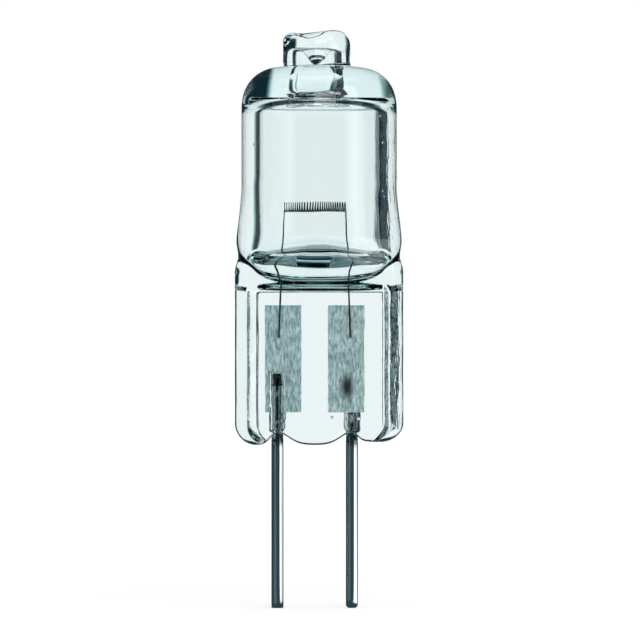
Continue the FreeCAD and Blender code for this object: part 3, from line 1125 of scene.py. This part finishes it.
def lift_share(degrees):
    """Place on a ramp of a direction's elevation."""
    return (degrees + 90.0) / 180.0


def side_mask(nodes, parts, windows):
    """White where a direction lies in one of the windows, by its angle from +Y toward +X."""
    angle = nodes.calculate("ARCTAN2", parts["X"], parts["Y"])
    share = nodes.between(angle, -math.pi, math.pi)
    stops = []
    for start, rise, end, fall, level in windows:
        lit = (level, level, level)
        stops += [(angle_share(start - rise), BLACK), (angle_share(start + rise), lit)]
        stops += [(angle_share(end - fall), lit), (angle_share(end + fall), BLACK)]
    return nodes.ramp(share, stops)


def studio_mask(nodes, windows, lift):
    """White where a direction lies in a window and within the lift, or overhead on the camera's side."""
    place = nodes.add("ShaderNodeTexCoord").outputs["Generated"]
    parts = nodes.add("ShaderNodeSeparateXYZ", {0: place}).outputs
    side = side_mask(nodes, parts, windows)
    height = nodes.calculate("ARCSINE", parts["Z"])
    level = nodes.between(height, -RIGHT_ANGLE, RIGHT_ANGLE)
    low, high, soft = lift
    upright = nodes.ramp(level, [
        (lift_share(low - soft), BLACK), (lift_share(low + soft), WHITE),
        (lift_share(high - soft), WHITE), (lift_share(high + soft), BLACK),
    ])
    both = nodes.calculate("MULTIPLY", side, upright)
    above = nodes.ramp(level, [(lift_share(OVERHEAD - soft), BLACK), (lift_share(OVERHEAD + soft), WHITE)])
    front = nodes.calculate("SUBTRACT", 1.0, side_mask(nodes, parts, BEHIND))
    return nodes.calculate("MAXIMUM", both, nodes.calculate("MULTIPLY", above, front))


def tinted(nodes, share, dark):
    """From a dark colour through teal to white."""
    return nodes.ramp(share, [(0.0, dark), (0.5, TEAL), (1.0, WHITE)])


def make_world():
    """A white backdrop with dark flags beside it, as glass is lit; flat fill light for everything else."""
    world = bpy.data.worlds.new("studio")
    bpy.context.scene.world = world
    nodes = Nodes(world)

    def background(colour, strength):
        return nodes.add("ShaderNodeBackground", {"Color": colour, "Strength": strength}).outputs[0]

    seen = studio_mask(nodes, BACKDROP, BACKDROP_LIFT)
    gloss = studio_mask(nodes, SOFTBOXES, SOFTBOX_LIFT)
    fill = background((*FILL_COLOUR, 1.0), FILL_STRENGTH)
    mirror = background(tinted(nodes, gloss, STEEL), WORLD_MIRROR)
    through = background(tinted(nodes, seen, SLATE), 1.0)
    plain = background((*WHITE, 1.0), 1.0)
    nodes.add("ShaderNodeOutputWorld", {"Surface": nodes.by_ray(fill, mirror, through, plain)})


def floor_material():
    """Pale floor: white to the camera but for the shadow; to the glass, a painted shadow under the bulb, and
    in reflections, a painted contact shadow.
    """
    owner = bpy.data.materials.new("pale_floor")
    nodes = Nodes(owner)
    place = nodes.place()
    parts = nodes.add("ShaderNodeSeparateXYZ", {0: place}).outputs
    away = nodes.add("ShaderNodeVectorMath", {0: place}, operation="LENGTH").outputs["Value"]

    def glowing(colour, strength):
        return nodes.add("ShaderNodeEmission", {"Color": colour, "Strength": strength}).outputs[0]

    specks = nodes.noise(nodes.stretched(FLOOR_SPECKS), FLOOR_DETAIL)
    dull, bright = FLOOR_PAINTS
    paint = nodes.ramp(specks, [(LOW_NOISE, dull), (HIGH_NOISE, bright)])
    matt = nodes.add("ShaderNodeBsdfDiffuse", {"Color": paint}).outputs[0]

    near = nodes.between(away, FAR_FLOOR * MM, NEAR_FLOOR * MM)
    lit = nodes.calculate("MAXIMUM", side_mask(nodes, parts, BACKDROP), near)
    # The floor darkens toward the bulb's axis for rays that the glass bends: a painted shadow of the bulb.
    past_bulb_shadow = nodes.between(away, BULB_SHADOW_DISC * MM, BULB_SHADOW_EDGE * MM)
    through = glowing(tinted(nodes, nodes.calculate("MULTIPLY", lit, past_bulb_shadow), SLATE), 1.0)

    # The floor darkens near the bulb's axis in reflections: a painted contact shadow.
    past_contact_shadow = nodes.between(away, CONTACT_SHADOW_DISC * MM, CONTACT_SHADOW_EDGE * MM)
    gloss = nodes.calculate("MULTIPLY", side_mask(nodes, parts, LOW_BOX), past_contact_shadow)
    mirror = glowing(tinted(nodes, gloss, STEEL), FLOOR_MIRROR)

    shaded = nodes.blend(SHADE_GLOW_SHARE, matt, glowing((*SHADE_GLOW_COLOUR, 1.0), SHADE_GLOW))
    past_shade = nodes.between(away, SHADE_REACH * MM, SHADE_END * MM)
    shown = nodes.blend(past_shade, shaded, glowing((*WHITE, 1.0), FLOOR_GLOW))
    nodes.add("ShaderNodeOutputMaterial", {"Surface": nodes.by_ray(matt, mirror, through, shown)})
    return owner


def make_floor():
    shell = Shell()
    corners = [(-1, -1), (1, -1), (1, 1), (-1, 1)]
    shell.points = [(FLOOR_HALF * x, FLOOR_HALF * y, 0.0) for x, y in corners]
    shell.faces = [(0, 1, 2, 3)]
    item = shell.make("floor")
    item.location.z = PIN_TIP * MM
    item.data.materials.append(floor_material())


def make_lamp(lamp):
    """A soft square lamp that faces the bulb."""
    data = bpy.data.lights.new(lamp.name, "AREA")
    data.size = lamp.size * MM
    data.energy = lamp.power
    item = bpy.data.objects.new(lamp.name, data)
    bpy.context.scene.collection.objects.link(item)
    item.location = Vector(lamp.place) * MM
    toward = Vector((0.0, 0.0, LOOK_Z)) * MM - item.location
    item.rotation_euler = toward.to_track_quat("-Z", "Y").to_euler()
    item.visible_camera = False
    item.visible_transmission = False


def make_camera():
    """A long lens straight in front of the bulb, level with its middle."""
    data = bpy.data.cameras.new("camera")
    data.sensor_width = SENSOR
    data.lens = SENSOR * CAMERA_DISTANCE / FRAME_WIDTH
    data.clip_start = CLIP_START * MM
    data.clip_end = CLIP_END * MM
    item = bpy.data.objects.new("camera", data)
    bpy.context.scene.collection.objects.link(item)
    item.location = Vector((LOOK_X, -CAMERA_DISTANCE, LOOK_Z)) * MM
    item.rotation_euler = (RIGHT_ANGLE, 0.0, 0.0)
    bpy.context.scene.camera = item


def dress(item, finish, node):
    """Give a piece its material, put it on the body and let it stand for its solid."""
    item.data.materials.clear()
    item.data.materials.append(finish)
    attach(item, "root")
    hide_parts(node)


bpy.context.scene.view_settings.view_transform = "Standard"

make_camera()
make_world()
make_floor()
for lamp in LAMPS:
    make_lamp(lamp)

quartz = quartz_material()
tungsten = metal_material("tungsten", TUNGSTEN)
foil_metal = metal_material("molybdenum_foil", FOIL_METAL)
pin_metal = metal_material("molybdenum_pin", PIN_METAL)

dress(make_envelope(), quartz, "quartz_envelope")
dress(make_filament(), tungsten, "filament")
dress(make_foil("foil_strip_left", -1), foil_metal, "foil_left")
dress(make_foil("foil_strip_right", 1), foil_metal, "foil_right")
dress(make_pin("lead_pin_left", -1), pin_metal, "pin_left")
dress(make_pin("lead_pin_right", 1), pin_metal, "pin_right")
